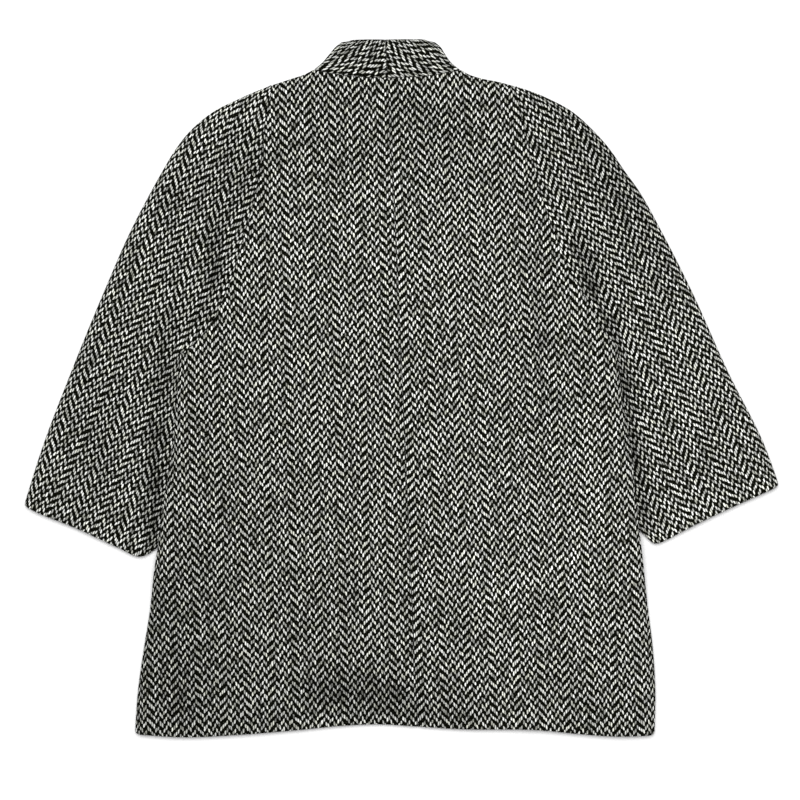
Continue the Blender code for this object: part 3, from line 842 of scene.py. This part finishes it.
def tweed_material():
    """Woven wool: cream floats over black in a broken herringbone, with uneven hairy yarns."""
    material = bpy.data.materials.new("tweed")
    material.use_nodes = True
    tree = material.node_tree
    graph = Graph(tree)
    shader = tree.nodes["Principled BSDF"]
    place = graph.node("ShaderNodeUVMap", uv_map="grain").outputs[0]
    ends, picks = yarn_numbers(graph, place)
    warp, weft, chance = yarn_heights(graph, ends, picks)
    hairs = graph.noise(place, HAIR_SCALE)
    stretched = graph.node("ShaderNodeMapping", {"Vector": place, "Scale": FIBRE_SCALE}).outputs[0]
    fibre = graph.noise(stretched, 1.0, FIBRE_DETAIL)

    # Ragged edges of the cream, its colour and the black's, and the painted light and shade over both
    ragged = graph.math("MULTIPLY_ADD", hairs, *HAIR_RAGGED)
    cream_share = graph.ease(graph.math("ADD", warp, ragged), *CREAM_RANGE)
    warm = graph.ease(graph.noise(place, WARM_SCALE, WARM_DETAIL), *WARM_RANGE)
    wool = graph.mix(warm, CREAM, CREAM_WARM)
    cream = graph.mix(cream_tone(graph, place, ends, chance, fibre), CREAM_SHADE, wool)
    black = graph.mix(graph.ease(hairs, *CHARCOAL_RANGE), BLACK, CHARCOAL)
    yarn = graph.mix(cream_share, black, cream)
    # Painted light and shade from the cloth's points, scaling the yarn colour
    painted_shading = graph.node("ShaderNodeAttribute", attribute_name="painted_shading").outputs["Fac"]
    colour = graph.node("ShaderNodeVectorMath", {"Vector": yarn, "Scale": painted_shading}, operation="SCALE")
    tree.links.new(colour.outputs[0], shader.inputs["Base Color"])

    # Relief of the yarns and their fibres
    fibre_height = graph.math("MULTIPLY", fibre, FIBRE_HEIGHT)
    height = graph.math("ADD", graph.math("MAXIMUM", warp, weft), fibre_height)
    inputs = {"Height": height, "Strength": BUMP_STRENGTH, "Distance": BUMP_DEPTH}
    tree.links.new(graph.node("ShaderNodeBump", inputs).outputs[0], shader.inputs["Normal"])
    for key, value in FINISH.items():
        shader.inputs[key].default_value = value
    return material


def dress(node, shell, material):
    piece, size, area = make_shell(node, shell, material)
    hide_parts(node)
    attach(piece, "root")


def make_coat():
    """All ten pieces of the coat."""
    tweed = tweed_material()
    for hand, sign in (("left", -1), ("right", 1)):
        side = Side(hand, sign)
        dress(f"front_{hand}", body_shell(side, "lower"), tweed)
        dress(f"sleeve_{hand}_front", sleeve_shell(side, "lower"), tweed)
        dress(f"back_{hand}", body_shell(side, "upper"), tweed)
        dress(f"sleeve_{hand}_back", sleeve_shell(side, "upper"), tweed)
        dress(f"collar_{hand}", collar_shell(side), tweed)


# Studio: the floor, the sky, the soft light and the camera, in metres, watts and shares of white
FLOOR_REACH = 6.0
FLOOR_DROP = 0.0005
FLOOR_TONE = (0.63, 0.63, 0.63, 1.0)
FLOOR_ROUGHNESS = 0.9
SKY_TONE = (1.0, 1.0, 1.0, 1.0)
SKY_STRENGTH = 0.385
SOFTBOX_SIZE = 2.6
SOFTBOX_POWER = 224.0
SOFTBOX_PLACE = (-0.1, 0.9, 3.5)
LENS_MM = 100.0
SENSOR_MM = 36.0
VIEW_WIDTH = 1.0
VIEW_MIDDLE = (-0.0019, -0.015)
VIEW_LEVEL = 0.006


def make_floor():
    """A plain pale floor just under the coat."""
    mesh = bpy.data.meshes.new("floor")
    corners = [(x * FLOOR_REACH, y * FLOOR_REACH, 0) for x, y in ((-1, -1), (1, -1), (1, 1), (-1, 1))]
    mesh.from_pydata(corners, [], [(0, 1, 2, 3)])
    floor = add_object("floor", mesh)
    floor.location.z = -FLOOR_DROP
    pale = bpy.data.materials.new("floor")
    pale.use_nodes = True
    shader = pale.node_tree.nodes["Principled BSDF"]
    shader.inputs["Base Color"].default_value = FLOOR_TONE
    shader.inputs["Roughness"].default_value = FLOOR_ROUGHNESS
    mesh.materials.append(pale)


def make_light():
    """An even sky and a softbox above the collar end, aimed at the coat's middle."""
    world = bpy.data.worlds.new("studio")
    bpy.context.scene.world = world
    world.use_nodes = True
    sky = world.node_tree.nodes["Background"]
    sky.inputs["Color"].default_value = SKY_TONE
    sky.inputs["Strength"].default_value = SKY_STRENGTH

    lamp = bpy.data.lights.new("softbox", "AREA")
    lamp.shape = "RECTANGLE"
    lamp.size = SOFTBOX_SIZE
    lamp.size_y = SOFTBOX_SIZE
    lamp.energy = SOFTBOX_POWER
    softbox = add_object("softbox", lamp)
    softbox.location = SOFTBOX_PLACE
    aim = -np.array(softbox.location)
    tilt = math.atan2(math.hypot(aim[0], aim[1]), -aim[2])
    turn = math.atan2(-aim[0], aim[1])
    softbox.rotation_euler = (tilt, 0.0, turn)


def make_camera():
    """A camera straight above, as wide as the photo."""
    lens = bpy.data.cameras.new("camera")
    lens.lens = LENS_MM
    lens.sensor_width = SENSOR_MM
    camera = add_object("camera", lens)
    camera.location = (*VIEW_MIDDLE, VIEW_WIDTH * lens.lens / lens.sensor_width + VIEW_LEVEL)
    bpy.context.scene.camera = camera
    bpy.context.scene.view_settings.view_transform = "Standard"


make_floor()
make_light()
make_camera()
make_coat()
